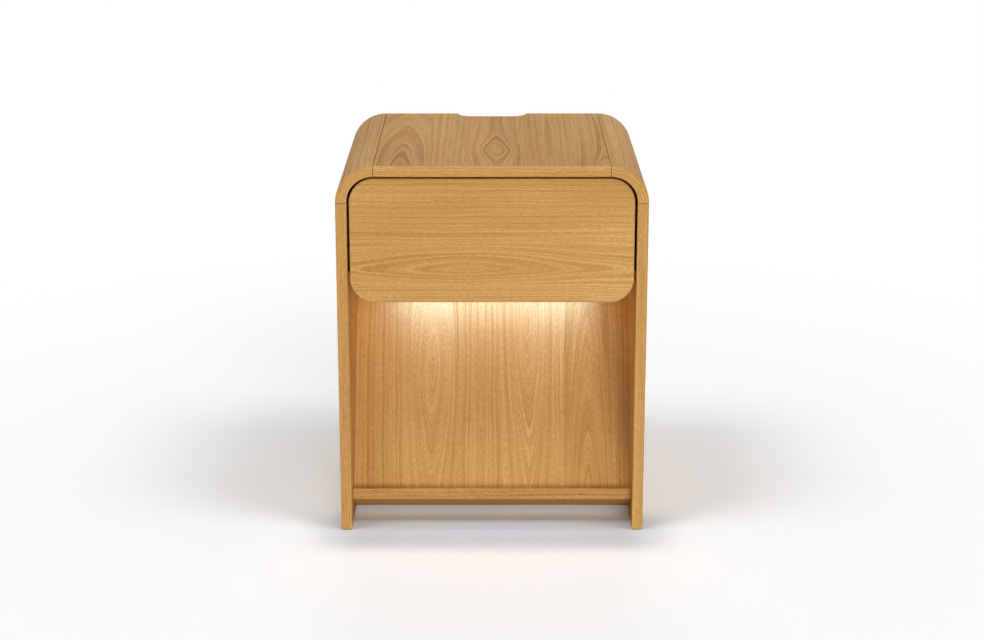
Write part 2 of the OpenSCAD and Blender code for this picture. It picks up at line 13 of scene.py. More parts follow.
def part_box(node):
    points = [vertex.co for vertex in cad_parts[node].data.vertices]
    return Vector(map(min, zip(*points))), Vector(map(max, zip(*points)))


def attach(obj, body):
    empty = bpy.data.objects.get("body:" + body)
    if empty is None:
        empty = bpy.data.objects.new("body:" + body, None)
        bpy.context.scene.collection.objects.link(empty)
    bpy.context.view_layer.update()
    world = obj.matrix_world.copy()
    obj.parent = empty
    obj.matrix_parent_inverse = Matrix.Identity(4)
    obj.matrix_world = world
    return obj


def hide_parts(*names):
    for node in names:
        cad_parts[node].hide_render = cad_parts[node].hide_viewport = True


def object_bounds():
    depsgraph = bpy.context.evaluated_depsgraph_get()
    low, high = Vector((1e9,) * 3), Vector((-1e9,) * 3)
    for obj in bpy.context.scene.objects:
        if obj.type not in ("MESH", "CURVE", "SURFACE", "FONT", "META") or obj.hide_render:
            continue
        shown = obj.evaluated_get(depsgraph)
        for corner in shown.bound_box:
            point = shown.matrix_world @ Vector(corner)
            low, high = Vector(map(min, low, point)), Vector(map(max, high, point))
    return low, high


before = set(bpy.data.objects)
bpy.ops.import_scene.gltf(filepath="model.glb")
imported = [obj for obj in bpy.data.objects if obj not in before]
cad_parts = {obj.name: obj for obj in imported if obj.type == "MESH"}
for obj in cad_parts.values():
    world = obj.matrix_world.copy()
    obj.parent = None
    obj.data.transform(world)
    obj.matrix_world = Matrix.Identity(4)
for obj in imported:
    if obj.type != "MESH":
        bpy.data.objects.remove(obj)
cad_low, cad_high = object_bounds()

# ---- Sizes, read from the frame ----

top_low, top_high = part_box("top_panel")
corner_low, corner_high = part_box("corner_right")
side_low, side_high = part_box("side_right")
back_low, back_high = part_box("back_panel")
front_low, front_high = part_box("drawer_front")

BOARD = top_high.z - top_low.z
BEND_X, BEND_Z = corner_low.x, corner_low.z
BEND_R = corner_high.x - corner_low.x
NOTCH_W = 0.108        # cable notch in the top's rear edge
NOTCH_D = cad_high.y - back_high.y
EASE = 0.0010          # quarter round on the boards' edges
GROOVE = 0.0007        # half width of the V where two arch boards meet
GROOVE_DEEP = 0.0022   # depth of that V
SHARP = 0.0004         # quarter round on sawn edges inside the case
TAPER = 0.003          # run over which an edge's ease changes at a corner
GROOVE_TAPER = 0.0006  # the same at the end of a joint
PAINTED_SHADE_TIP = 0.030       # length of a slide's outer section's front that is painted black as shade


# ---- Outlines ----

def outline(corners):
    """A closed outline, anticlockwise, from corners (x, y, radius, ease of the next edge).

    Returns points with their outward normals, their eases and their distances along it.
    """
    count = len(corners)
    at = [Vector(c[:2]) for c in corners]
    way = [(at[(i + 1) % count] - at[i]).normalized() for i in range(count)]
    cut = []
    for i in range(count):
        turn = abs(way[i - 1].angle_signed(way[i]))
        cut.append(corners[i][2] * math.tan(turn / 2))
    found = []
    for i in range(count):
        radius = corners[i][2]
        turn = -way[i - 1].angle_signed(way[i])
        before, after = corners[i - 1][3], corners[i][3]
        side = 1 if turn > 0 else -1
        limit = 0.95 * radius if side > 0 else 1
        ease = min(before, after, limit)
        inward = Vector((-way[i - 1].y, way[i - 1].x)) * side
        centre = at[i] - way[i - 1] * cut[i] + inward * radius
        step = math.radians(4 if radius > 0.005 else 20)
        steps = max(3, math.ceil(abs(turn) / step))
        for k in range(steps + 1):
            out = Matrix.Rotation(turn * k / steps, 2) @ (-inward)
            found.append((centre + out * radius, out * side, ease))
        taper = GROOVE_TAPER if after == GROOVE else TAPER
        start = at[i] + way[i] * cut[i]
        end = at[(i + 1) % count] - way[i] * cut[(i + 1) % count]
        normal = Vector((way[i].y, -way[i].x))
        if (end - start).length > 3 * taper:
            found.append((start + way[i] * taper, normal, after))
            found.append((end - way[i] * taper, normal, after))
    merged = [p for i, p in enumerate(found) if (p[0] - found[i - 1][0]).length > 1e-6]
    run = [0.0]
    for i in range(len(merged)):
        run.append(run[-1] + (merged[(i + 1) % len(merged)][0] - merged[i][0]).length)
    return merged, run


def profile(node):
    """The corners of a node's outline seen along X, as (y, z), anticlockwise."""
    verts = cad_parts[node].data.vertices
    points = sorted({(round(v.co.y, 6), round(v.co.z, 6)) for v in verts})
    hull = []
    for pass_points in (points, points[::-1]):
        chain = []
        for p in pass_points:
            while len(chain) > 1 and turns_right(chain[-2], chain[-1], p):
                chain.pop()
            chain.append(p)
        hull += chain[:-1]
    return hull


def turns_right(a, b, c):
    """Whether a, b, c don't turn left by more than a hair."""
    return (b[0] - a[0]) * (c[1] - a[1]) - (b[1] - a[1]) * (c[0] - a[0]) < 1e-8


# ---- Boards ----

ROUNDS = 4             # facets of a quarter round


def placed(name, data):
    """Adds a new object to the scene."""
    made = bpy.data.objects.new(name, data)
    bpy.context.scene.collection.objects.link(made)
    return made


def board(name, shape, low, high, place, cap_grain, rim_grain, looks, body, node):
    """A board: an outline swept from low to high, with its edges eased, that stands for node.

    place turns (x, y, sweep) into the frame. cap_grain and rim_grain give where a point lies
    along and across the wood's fibres, and in which layer. looks are for the rim, the caps and
    the faces of a joint.
    """
    points, run = shape
    count = len(points)
    rings = [(low, 1, math.pi / 2 * k / ROUNDS) for k in range(ROUNDS + 1)]
    rings += [(high, -1, phi) for _, _, phi in reversed(rings)]
    axis = (place(0, 0, 1) - place(0, 0, 0)).normalized()
    verts, normals, spots = [], [], []
    for end, sign, phi in rings:
        for point, out, ease in points:
            deep = GROOVE_DEEP if ease == GROOVE else ease
            flat = point - out * ease * (1 - math.sin(phi))
            sweep = end + sign * deep * (1 - math.cos(phi))
            verts.append(place(flat.x, flat.y, sweep))
            side = place(out.x, out.y, 0) - place(0, 0, 0)
            normals.append((side * math.sin(phi) - axis * sign * math.cos(phi)).normalized())
            spots.append((flat, sweep))
    faces, grain, kinds = [], [], []
    width, height = (place(1, 0, 0) - place(0, 0, 0)), (place(0, 1, 0) - place(0, 0, 0))
    flip = width.cross(height).dot(axis) < 0
    for ring in range(len(rings) - 1):
        for i in range(count):
            j = (i + 1) % count
            quad = [(ring, i, run[i]), (ring, j, run[i + 1]),
                    (ring + 1, j, run[i + 1]), (ring + 1, i, run[i])]
            if flip:
                quad.reverse()
            faces.append([r * count + k for r, k, _ in quad])
            grain += [rim_grain(spots[r * count + k][0], along, spots[r * count + k][1])
                for r, k, along in quad]
            kinds.append(2 if points[i][2] == GROOVE and points[j][2] == GROOVE else 0)
    for ring, forward in ((0, flip), (len(rings) - 1, not flip)):
        loop = [ring * count + i for i in range(count)]
        if not forward:
            loop.reverse()
        faces.append(loop)
        grain += [cap_grain(spots[v][0].x, spots[v][0].y, spots[v][1]) for v in loop]
        kinds.append(1)
    mesh = bpy.data.meshes.new(name)
    mesh.from_pydata(verts, [], faces)
    for look in looks:
        mesh.materials.append(look)
    mesh.polygons.foreach_set("material_index", kinds)
    mesh.polygons.foreach_set("use_smooth", [True] * len(faces))
    held = mesh.attributes.new("grain", "FLOAT_VECTOR", "CORNER")
    held.data.foreach_set("vector", [x for g in grain for x in g])
    mesh.normals_split_custom_set_from_vertices(normals)
    piece = placed(name, mesh)
    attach(piece, body)
    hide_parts(node)


def place_xyz(x, y, sweep):
    """Outline in X and Y, swept along Z."""
    return Vector((x, y, sweep))


def place_xzy(x, z, sweep):
    """Outline in X and Z, swept along Y."""
    return Vector((x, sweep, z))


def place_yzx(y, z, sweep):
    """Outline in Y and Z, swept along X."""
    return Vector((sweep, y, z))


# ---- A short way to write node materials ----

class Value:
    """A number in a material's node tree. Arithmetic on it adds Math nodes."""

    def __init__(self, tree, socket):
        self.tree = tree
        self.socket = socket

    def math(self, operation, *others):
        node = self.tree.nodes.new("ShaderNodeMath")
        node.operation = operation
        for slot, item in zip(node.inputs, (self,) + others):
            feed(self.tree, slot, item)
        return Value(self.tree, node.outputs[0])

    def __add__(self, other):
        return self.math("ADD", other)

    def __sub__(self, other):
        return self.math("SUBTRACT", other)

    def __mul__(self, other):
        return self.math("MULTIPLY", other)

    def __truediv__(self, other):
        return self.math("DIVIDE", other)

    def __pow__(self, other):
        return self.math("POWER", other)

    def ease(self, low, high):
        """0 below low and 1 above high, smooth between; reversed where low is above high."""
        node = self.tree.nodes.new("ShaderNodeMapRange")
        node.interpolation_type = "SMOOTHSTEP"
        rising = low < high
        feed(self.tree, node.inputs["Value"], self)
        node.inputs["From Min"].default_value = min(low, high)
        node.inputs["From Max"].default_value = max(low, high)
        node.inputs["To Min"].default_value = 0 if rising else 1
        node.inputs["To Max"].default_value = 1 if rising else 0
        return Value(self.tree, node.outputs["Result"])


def feed(tree, slot, item):
    """Links a Value, or sets a plain number or colour."""
    if isinstance(item, Value):
        tree.links.new(item.socket, slot)
    else:
        slot.default_value = item


def vector(x, y, z):
    """A vector from three Values or numbers, at least one of them a Value."""
    tree = next(v.tree for v in (x, y, z) if isinstance(v, Value))
    node = tree.nodes.new("ShaderNodeCombineXYZ")
    for slot, item in zip(node.inputs, (x, y, z)):
        feed(tree, slot, item)
    return Value(tree, node.outputs[0])


def split(place):
    """The three parts of a vector."""
    node = place.tree.nodes.new("ShaderNodeSeparateXYZ")
    feed(place.tree, node.inputs[0], place)
    return [Value(place.tree, output) for output in node.outputs]


def noise(place, detail=2.0, roughness=0.5):
    """Perlin noise round 0, at a scale of 1."""
    node = place.tree.nodes.new("ShaderNodeTexNoise")
    feed(place.tree, node.inputs["Vector"], place)
    node.inputs["Scale"].default_value = 1
    node.inputs["Detail"].default_value = detail
    node.inputs["Roughness"].default_value = roughness
    return Value(place.tree, node.outputs["Fac"]) - 0.5


def mix(low, high, share):
    """From colour low to colour high."""
    tree = share.tree
    node = tree.nodes.new("ShaderNodeMix")
    node.data_type = "RGBA"
    feed(tree, node.inputs[0], share)
    feed(tree, node.inputs[6], low)
    feed(tree, node.inputs[7], high)
    return Value(tree, node.outputs[2])


def colour(red, green, blue, alpha=1.0):
    """An sRGB colour, 0 to 255, as the linear one that shaders take."""
    def linear(c):
        c /= 255
        return c / 12.92 if c <= 0.04045 else ((c + 0.055) / 1.055) ** 2.4
    return (linear(red), linear(green), linear(blue), alpha)


def material(name):
    """A new material with only a Principled shader: (material, tree, shader)."""
    made = bpy.data.materials.new(name)
    made.use_nodes = True
    return made, made.node_tree, made.node_tree.nodes["Principled BSDF"]


def bump(tree, shader, height, distance, strength=1.0):
    """Raises the surface by up to distance, in metres, where height goes from 0 to 1."""
    node = tree.nodes.new("ShaderNodeBump")
    node.inputs["Strength"].default_value = strength
    node.inputs["Distance"].default_value = distance
    feed(tree, node.inputs["Height"], height)
    tree.links.new(node.outputs["Normal"], shader.inputs["Normal"])


# ---- Wood ----

PALE = colour(226, 182, 118)
MIDDLE = colour(199, 150, 85)
DARK = colour(150, 99, 47)
PORE = colour(120, 76, 36)


def grain_place(tree):
    """Where a point lies in its board: along and across the fibres, and in which layer."""
    source = tree.nodes.new("ShaderNodeAttribute")
    source.attribute_name = "grain"
    return split(Value(tree, source.outputs["Vector"]))


def heart_field(over, along, hearts):
    """How far a point lies out from the nearest heart of the figure, in metres.

    Without a heart, every point lies about a metre out, and the lines are straight.
    """
    if not hearts:
        return over + 1.0
    power = 1.65
    far = None
    for h_along, h_across, squeeze, reach, lower in hearts:
        gap = over - h_across
        gap = gap.math("MAXIMUM", gap * -lower)
        length = ((along - h_along).math("ABSOLUTE") * (squeeze / reach)).math("TANH") * reach
        here = (gap ** power + length ** power) ** (1 / power)
        here = gap + (here - gap) * gap.ease(0.060, 0.010)
        far = here if far is None else far.math("SMOOTH_MIN", here, 0.010)
    return far


def oak(name, hearts=(), seed=0.0, ring=0.0075, jag=1.0, figure=1.0, depth=0.44):
    """Satin oak veneer, drawn in the grain attribute's own metres.

    Each heart is (along, across, squeeze, reach, lower): where the fibres close round a crown,
    how flat its ovals are, how far out they stay curved, and how much tighter they are below
    it. ring is the width of a growth ring, jag how ragged its lines are, figure how strong they
    are, and depth how dark the whole is.
    """
    first_ring, fine_ring = 0.003, 0.0027
    made, tree, shader = material(name)
    along, across, layer = grain_place(tree)
    layer = layer * 7.3 + seed

    sway = noise(vector(along * 2.6, across * 7.0, layer), 2)
    ripple = noise(vector(along * 17.0, across * 60.0, layer + 3.1), 3, 0.6)
    over = across + sway * 0.016 + ripple * (0.0030 * jag)
    far = heart_field(over, along, hearts)
    drift = layer + over * 21.0

    uneven = noise(vector(far * 70.0, layer, along * 0.8), 2)
    turns = (far - first_ring) / ring + uneven * 2.4
    phase = turns.math("FRACT")
    late = phase.ease(0.15, 0.95) * phase.ease(1.0, 0.95)
    weight = noise(vector(turns.math("FLOOR") * 3.7, layer, along * 1.3), 1).ease(-0.2, 0.2)
    line = late * (weight * 0.8 + 0.2)
    fine_turns = far / fine_ring + noise(vector(far * 120.0, drift, along * 1.5), 2) * 3.0
    fine = (fine_turns * math.tau).math("SINE") * 0.5
    fine = fine * noise(vector(along * 5.0, far * 60.0, drift + 4.0), 1).ease(-0.15, 0.25)

    calm = far.ease(0.0, 0.035) * 0.6 + 0.4
    streak = noise(vector(along * 2.5, far * 580.0, drift + 5.0), 3, 0.6) * calm
    fibre = noise(vector(along * 12.0, far * 900.0, drift + 9.0), 2, 0.6)
    fleck = noise(vector(along * 160.0, over * 700.0, layer + 1.0), 2, 0.6)
    pore = noise(vector(along * 60.0, over * 800.0, layer + 2.0), 1).ease(0.12, 0.24)
    patch = noise(vector(along * 1.8, across * 9.0, layer + 11.0), 3)

    tone = line * (calm * -0.26 + 0.62) * figure + fine * 0.26 + depth
    tone = tone - streak * 0.62 - fibre * 0.55 - fleck * 0.85 - patch * 0.70
    base = mix(PALE, MIDDLE, tone.ease(0.0, 0.62))
    base = mix(base, DARK, tone.ease(0.50, 1.25))
    base = mix(base, PORE, pore * 0.28)
    feed(tree, shader.inputs["Base Color"], base)
    feed(tree, shader.inputs["Roughness"], pore * 0.16 - fibre * 0.12 + 0.50)
    shader.inputs["Specular IOR Level"].default_value = 0.04
    bump(tree, shader, line * -0.25 - pore * 0.8 + fibre * 0.25, 0.00012, 0.6)
    return made


def plywood_edge(name):
    """The sawn edge of birch plywood: thin plies, light and dark in turn."""
    made, tree, shader = material(name)
    along, through, layer = grain_place(tree)
    wave = noise(vector(along * 9.0, through * 40.0, layer), 2)
    ply_pair = 0.0028
    ply = (through / ply_pair + wave * 0.35).math("FRACT")
    band = ply.ease(0.40, 0.50) * ply.ease(1.0, 0.93)
    speck = noise(vector(along * 900.0, through * 700.0, layer), 2)
    base = mix(colour(228, 203, 164), colour(176, 136, 92), band * 0.75 + speck * 0.4 + 0.05)
    feed(tree, shader.inputs["Base Color"], base)
    shader.inputs["Roughness"].default_value = 0.6
    bump(tree, shader, band * -0.5 + speck, 0.00008, 0.5)
    return made


def birch(name, seed):
    """Clear-sealed pale plywood face, grain along the board."""
    made, tree, shader = material(name)
    along, across, layer = grain_place(tree)
    layer = layer * 5.1 + seed
    sway = noise(vector(along * 3.0, across * 8.0, layer), 2)
    over = across + sway * 0.03
    broad = noise(vector(along * 2.0, over * 45.0, layer), 3, 0.55)
    fibre = noise(vector(along * 30.0, over * 1200.0, layer), 2, 0.6)
    fleck = noise(vector(along * 160.0, over * 700.0, layer), 1).ease(0.16, 0.26)
    tone = broad * 0.9 + fibre * 0.45 + 0.45
    base = mix(colour(233, 210, 172), colour(205, 172, 126), tone.ease(0.1, 0.9))
    base = mix(base, colour(170, 130, 86), fleck * 0.35)
    feed(tree, shader.inputs["Base Color"], base)
    feed(tree, shader.inputs["Roughness"], fibre * -0.1 + 0.48)
    bump(tree, shader, fibre - fleck, 0.00006, 0.5)
    return made


# ---- Other finishes ----

# painted shade: near-black put on a slide's front, where the gap beside the drawer is in shadow
PAINTED_SHADE_BLACK = (0.012, 0.012, 0.012, 1)


def object_place(tree):
    """The piece's own coordinates, in metres."""
    node = tree.nodes.new("ShaderNodeTexCoord")
    return Value(tree, node.outputs["Object"])


def scaled(place, x, y, z):
    """A place with each of its parts scaled."""
    node = place.tree.nodes.new("ShaderNodeMapping")
    feed(place.tree, node.inputs["Vector"], place)
    node.inputs["Scale"].default_value = (x, y, z)
    return Value(place.tree, node.outputs[0])


def steel(name, tone, rough, spangle=0.0, dark_end=None):
    """Plated sheet steel, drawn along the slide, with a faint zinc spangle.

    A slide's front is painted black up to dark_end, a place along Y. This is painted shade that
    stands for the shadow in the gap beside the drawer.
    """
    made, tree, shader = material(name)
    place = object_place(tree)
    drawn = noise(scaled(place, 2600, 40, 2600), 2)
    cloud = noise(scaled(place, 60, 30, 60), 3)
    share = cloud * spangle + drawn * 0.5 + 0.5
    low = tuple(c * 0.72 for c in tone[:3]) + (1,)
    base = mix(low, tone, share)
    if dark_end is not None:
        # 0 on the front of the slide, which is painted shade, and 1 on the zinc behind it
        zinc_share = split(place)[1].ease(dark_end, dark_end + 0.001)
        base = mix(PAINTED_SHADE_BLACK, base, zinc_share)
    feed(tree, shader.inputs["Base Color"], base)
    shader.inputs["Metallic"].default_value = 1
    feed(tree, shader.inputs["Roughness"], drawn * 0.22 + cloud * 0.12 + rough)
    bump(tree, shader, drawn, 0.00002, 0.4)
    return made


def moulded(name, tone, rough=0.5, grain=0.00004):
    """Moulded plastic with a fine eroded texture."""
    made, tree, shader = material(name)
    place = object_place(tree)
    fine = noise(scaled(place, 1800, 1800, 1800), 2)
    cloud = noise(scaled(place, 25, 25, 25), 2)
    low = tuple(c * 0.88 for c in tone[:3]) + (1,)
    feed(tree, shader.inputs["Base Color"], mix(low, tone, cloud * 0.8 + fine * 0.5 + 0.5))
    feed(tree, shader.inputs["Roughness"], fine * 0.2 + rough)
    bump(tree, shader, fine, grain, 0.5)
    return made


def glowing(name, tone, light, strength):
    """Opal plastic or phosphor lit from behind."""
    made = moulded(name, tone, 0.35, 0.00002)
    shader = made.node_tree.nodes["Principled BSDF"]
    shader.inputs["Emission Color"].default_value = light
    shader.inputs["Emission Strength"].default_value = strength
    return made


def dress(look, *nodes):
    """Gives CAD nodes a material."""
    for node in nodes:
        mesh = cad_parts[node].data
        mesh.materials.clear()
        mesh.materials.append(look)


# ---- The arch ----

band = oak("oak_edge_band", seed=2.0, ring=0.0045, figure=0.8)
joint = moulded("glue_line", colour(70, 40, 17), 0.8)
# depth 0.54 draws the top darker than the fronts: partly its veneer's own tone, partly painted
# shade for the less light it catches
top_look = oak("oak_top", seed=4.0, jag=1.6, depth=0.54, hearts=[(-0.090, 0.0065, 0.24, 0.020, 1.0),
    (-0.30, -0.132, 0.095, 0.080, 1.0), (-0.19, 0.166, 0.25, 0.014, 1.0)])
corner_look = oak("oak_corner", seed=6.0, depth=0.49)
side_look = oak("oak_side", seed=8.0, hearts=[(0.08, 0.03, 0.09, 0.050, 1.0),
    (0.62, -0.11, 0.08, 0.050, 1.0)])
case_look = oak("oak_case", seed=12.0)


def make_top():
    """The flat top, with its grain from front to rear and a notch for cables."""
    low, high = top_low, top_high
    half = NOTCH_W / 2
    mouth = 0.0016         # round where the notch meets the rear edge
    bowl = NOTCH_D - mouth
    shape = outline([
        (low.x, low.y, GROOVE, EASE), (high.x, low.y, GROOVE, GROOVE),
        (high.x, high.y, GROOVE, EASE), (half, high.y, mouth, EASE),
        (half, high.y - NOTCH_D, bowl, EASE), (-half, high.y - NOTCH_D, bowl, EASE),
        (-half, high.y, mouth, EASE), (low.x, high.y, GROOVE, GROOVE)])
    middle = (low.z + high.z) / 2
    board("veneer_top", shape, low.z, high.z, place_xyz,
        lambda x, y, z: (y, x, 0 if z > middle else 1), lambda p, s, z: (s, z, 2),
        (band, top_look, joint), "cabinet", "top_panel")


def make_corner(side, name, node):
    """A bent board. Its grain runs from front to rear, and round the bend on its edge."""
    inner = BEND_R - BOARD
    x0, z0 = BEND_X, BEND_Z
    spare = 0.0005         # keeps a short straight run between the bend and each joint
    shape = outline([
        (x0 + BEND_R, z0, GROOVE, EASE), (x0 + BEND_R, z0 + BEND_R, BEND_R - spare, EASE),
        (x0, z0 + BEND_R, GROOVE, GROOVE), (x0, z0 + inner, GROOVE, EASE),
        (x0 + inner, z0 + inner, inner - spare, EASE), (x0 + inner, z0, GROOVE, GROOVE)])

    def edge_grain(x, z, y):
        turn = math.atan2(z - z0, x - x0)
        return (turn * (BEND_R - BOARD / 2), math.hypot(x - x0, z - z0), 2)

    board(name, shape, side_low.y, side_high.y, lambda x, z, y: Vector((side * x, y, z)),
        edge_grain, lambda p, s, y: (y, s, 3 + side), (corner_look, band, joint), "cabinet", node)


def make_side(side, name, node):
    """An upright side, with its grain from floor to top."""
    low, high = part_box(node)
    shape = outline([(low.y, low.z, EASE * 1.1, EASE), (high.y, low.z, EASE * 1.1, EASE),
        (high.y, high.z, GROOVE, GROOVE), (low.y, high.z, GROOVE, EASE)])
    middle = (low.x + high.x) / 2
    board(name, shape, low.x, high.x, place_yzx,
        lambda y, z, x: (z, y, side + (0.4 if x > middle else 0)),
        lambda p, s, x: (s, x, 8 - side), (band, side_look, joint), "cabinet", node)


make_top()
make_corner(1, "veneer_corner_right", "corner_right")
make_corner(-1, "veneer_corner_left", "corner_left")
make_side(1, "veneer_side_right", "side_right")
make_side(-1, "veneer_side_left", "side_left")

# ---- The case and the rack ----

rack_look = oak("oak_rack", seed=15.0, depth=0.42, hearts=[(0.189, -0.090, 0.16, 0.035, 1.0),
    (0.265, 0.055, 0.13, 0.035, 1.0), (-0.02, 0.146, 0.13, 0.032, 1.0)])


def make_cross_board(name, node, look, ease):
    """A board with its outline in Y and Z, and its grain along X."""
    low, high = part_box(node)
    shape = outline([(y, z, ease * 1.05, ease) for y, z in profile(node)])
    board(name, shape, low.x, high.x, place_yzx, lambda y, z, x: (y, z, 4),
        lambda p, s, x: (x, s, 1), (look, band, joint), "cabinet", node)


def rack_slope():
    """The rack panel's corners as (y, z), and the way up its slope."""
    corners = [Vector(c) for c in profile("rack_panel")]
    edges = [b - a for a, b in zip(corners, corners[1:] + corners[:1])]
    slope = max(edges, key=lambda e: e.length).normalized()
    return corners, slope if slope.y > 0 else -slope


def make_rack_panel():
    """The sloping panel, with its grain up the slope."""
    low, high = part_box("rack_panel")
    corners, slope = rack_slope()
    foot = min(corners, key=lambda c: c.x)
    across = Vector((slope.y, -slope.x))
    face = 0.007           # a point less deep than this is on the one face, else on the other
    shape = outline([(c.x, c.y, SHARP * 1.05, SHARP) for c in corners])
    board("veneer_rack_panel", shape, low.x, high.x, place_yzx, lambda y, z, x: (y, z, 4),
        lambda p, s, x: ((p - foot).dot(slope), x, 0 if (p - foot).dot(across) < face else 1),
        (rack_look, band, joint), "cabinet", "rack_panel")


make_rack_panel()
LIP_EASE = 0.0018
make_cross_board("veneer_rack_ledge", "rack_ledge", case_look, LIP_EASE)
make_cross_board("veneer_case_floor", "case_floor", case_look, SHARP)
make_cross_board("veneer_rear_rail", "rear_rail", case_look, EASE)


def make_back():
    """The board behind the drawer, with its upper corners in the bends."""
    low, high = back_low, back_high
    bend = BEND_R - BOARD
    shape = outline([(low.x, low.z, SHARP * 1.1, SHARP), (high.x, low.z, SHARP * 1.1, SHARP),
        (high.x, high.z, bend, SHARP), (low.x, high.z, bend, SHARP)])
    board("veneer_back", shape, low.y, high.y, place_xzy, lambda x, z, y: (x, z, 2),
        lambda p, s, y: (s, y, 6), (band, case_look, joint), "cabinet", "back_panel")


make_back()

# ---- The drawer ----

front_look = oak("oak_drawer_front", seed=21.0, figure=0.8,
    hearts=[(-0.039, front_low.z + 0.0495, 0.155, 0.032, 1.6)])
ply_edge = plywood_edge("plywood_edge")
ply_face = birch("plywood_face", 3.0)


def make_front():
    """The drawer front, whose corners follow the bends at an even gap."""
    low, high = front_low, front_high
    bend = BEND_R - BOARD - (corner_high.x - BOARD - high.x)
    shape = outline([(low.x, low.z, bend, EASE), (high.x, low.z, bend, EASE),
        (high.x, high.z, bend, EASE), (low.x, high.z, bend, EASE)])
    middle = (low.y + high.y) / 2
    board("veneer_drawer_front", shape, low.y, high.y, place_xzy,
        lambda x, z, y: (x, z, 1 if y > middle else 0), lambda p, s, y: (s, y, 6),
        (band, front_look, joint), "drawer", "drawer_front")


BOX_BOARDS = [("drawer_side_left", "x"), ("drawer_side_right", "x"), ("drawer_box_front", "y"),
    ("drawer_back", "y"), ("drawer_bottom", "z")]


def make_box_board(node, thin):
    """A plywood board of the drawer box, lying across its thin axis."""
    low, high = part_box(node)
    place = {"x": place_yzx, "y": place_xzy, "z": place_xyz}[thin]
    wide, tall = [axis for axis in "xyz" if axis != thin]
    ends = [(getattr(low, wide), getattr(low, tall)), (getattr(high, wide), getattr(low, tall)),
        (getattr(high, wide), getattr(high, tall)), (getattr(low, wide), getattr(high, tall))]
    shape = outline([(a, b, SHARP * 1.1, SHARP) for a, b in ends])
    layer = BOX_BOARDS.index((node, thin))
    board("plywood_" + node, shape, getattr(low, thin), getattr(high, thin), place,
        lambda a, b, w: (a, b, layer), lambda p, s, w: (s, w, layer),
        (ply_edge, ply_face, joint), "drawer", node)


make_front()
for box_board in BOX_BOARDS:
    make_box_board(*box_board)

# ---- Hardware ----

beech = moulded("beech_dowel", colour(206, 172, 124), 0.6)
ZINC = (0.62, 0.63, 0.65, 1)
zinc = steel("zinc_plate", ZINC, 0.34, 0.5)
# the outer slides carry painted shade on their front ends
painted_shade_zinc = steel("zinc_plate_painted_shade_end", ZINC, 0.34, 0.5,
    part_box("slide_outer_right")[0].y + PAINTED_SHADE_TIP)
bright = steel("ball_steel", (0.80, 0.80, 0.82, 1), 0.12)
screw = steel("screw_steel", (0.55, 0.55, 0.57, 1), 0.30)
anodised = steel("light_aluminium", (0.75, 0.76, 0.77, 1), 0.38)
cage = moulded("cage_plastic", colour(212, 200, 160), 0.45)
soft = moulded("soft_plastic", colour(46, 43, 41), 0.6)
pale = moulded("pale_plastic", colour(232, 229, 221), 0.45)
dark = moulded("dark_plastic", colour(44, 44, 46), 0.5)
green = moulded("circuit_green", colour(28, 104, 66), 0.3)
white = moulded("circuit_white", colour(238, 235, 226), 0.3)
WARM = (1.0, 0.80, 0.52, 1)
opal = glowing("opal_diffuser", colour(250, 242, 222), WARM, 3.0)
chip = glowing("chip_phosphor", colour(250, 222, 130), WARM, 6.0)
lens = moulded("lens_frosted", colour(240, 240, 236), 0.25, 0.00001)

dress(beech, "arch_dowels", "case_dowels", "drawer_dowels")
for side_name in ("left", "right"):
    dress(painted_shade_zinc, "slide_outer_" + side_name)
    dress(zinc, "slide_middle_" + side_name, "slide_inner_" + side_name)
    dress(bright, "balls_outer_" + side_name, "balls_inner_" + side_name)
    dress(cage, "ball_cage_outer_" + side_name, "ball_cage_inner_" + side_name)
dress(screw, "slide_outer_screws", "slide_inner_screws", "drawer_front_screws",
    "light_screws", "driver_screws", "power_inlet")
dress(soft, "slide_bumpers", "floor_glides", "lead_grommet")
dress(anodised, "light_channel")
dress(pale, "light_end_cap", "sensor_case", "light_lead")
dress(opal, "light_diffuser")
dress(chip, "light_chips")
dress(lens, "sensor_lens")
dress(white, "light_board")
dress(green, "driver_board")
dress(dark, "driver_plate", "driver_cover")

# ---- Floor, lights and camera ----

FLOOR_HALF = 12.0                        # half the floor's width
FLOOR_GREY = (0.62, 0.62, 0.62, 1)       # as other rays find it, so it lights the object less
FLOOR_OPEN = (1.24, 1.26, 1.29, 1)       # as the camera sees it, away from the object
FLOOR_PAINTED_SHADOW = (0.76, 0.82, 0.90, 1)      # painted shadow: the camera sees the floor this dark just in front of the object
FLOOR_PAINTED_LIGHT = (1.55, 1.88, 2.25, 1)    # painted light: the camera sees the floor this bright and blue under the object, over its shade
AMBIENT = 0.245                          # the world's light on the object
CAMERA_AWAY, CAMERA_HIGH = 3.1844, 1.1683
CAMERA_TILT = 15.81                      # degrees down


